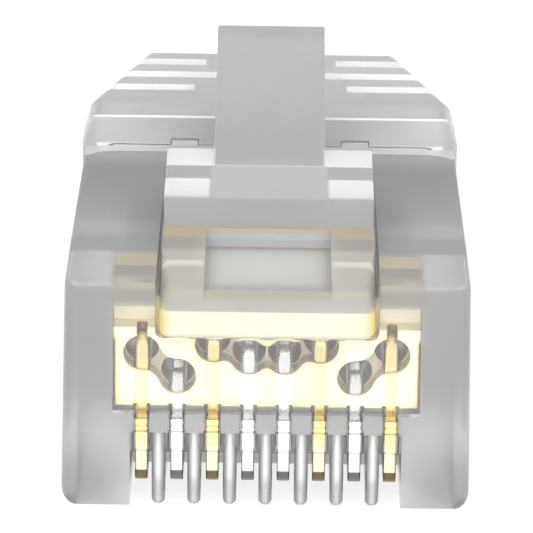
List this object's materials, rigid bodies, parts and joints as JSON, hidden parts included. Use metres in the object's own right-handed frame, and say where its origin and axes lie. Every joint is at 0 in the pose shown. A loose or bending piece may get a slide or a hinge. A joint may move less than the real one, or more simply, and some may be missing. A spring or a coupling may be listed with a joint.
{
  "type": "rj45 modular plug",
  "caption": "Clear modular cable plug with a springy latch on top, a comb of contacts, an inner wire manager and a slotted strain relief boot.",
  "frame": {"origin": "middle of the plug's length and width on its contact side, the face it rests on", "axes": "+Z from the contact side to the latch, -Y towards the nose that enters the jack, +Y towards the cable, +X across"},
  "size_m": [0.0116, 0.0234, 0.0105],
  "materials": {
    "clear_polycarbonate": "clear, polished mould",
    "clear_elastomer": "clear, slightly hazy",
    "yellow_polycarbonate": "pale yellow, translucent",
    "gold_plated_bronze": "gold plated",
    "nickel_plated_bronze": "nickel plated"
  },
  "bodies": {
    "plug_body": {"plug_housing": "clear_polycarbonate", "wire_manager": "yellow_polycarbonate", "strain_relief_boot": "clear_elastomer", "contact_1": "gold_plated_bronze", "contact_2": "nickel_plated_bronze", "contact_3": "gold_plated_bronze", "contact_4": "nickel_plated_bronze", "contact_5": "nickel_plated_bronze", "contact_6": "gold_plated_bronze", "contact_7": "nickel_plated_bronze", "contact_8": "gold_plated_bronze"},
    "latch": {"latch_lever": "clear_polycarbonate"}
  },
  "joints": [
    {"name": "latch_flex", "type": "hinge", "parent": "plug_body", "child": "latch", "pos_m": [0, -0.01057, 0.00605], "axis": [1, 0, 0], "range_deg": [-8, 0], "stiffness_Nm_per_rad": 0.1}
  ]
}
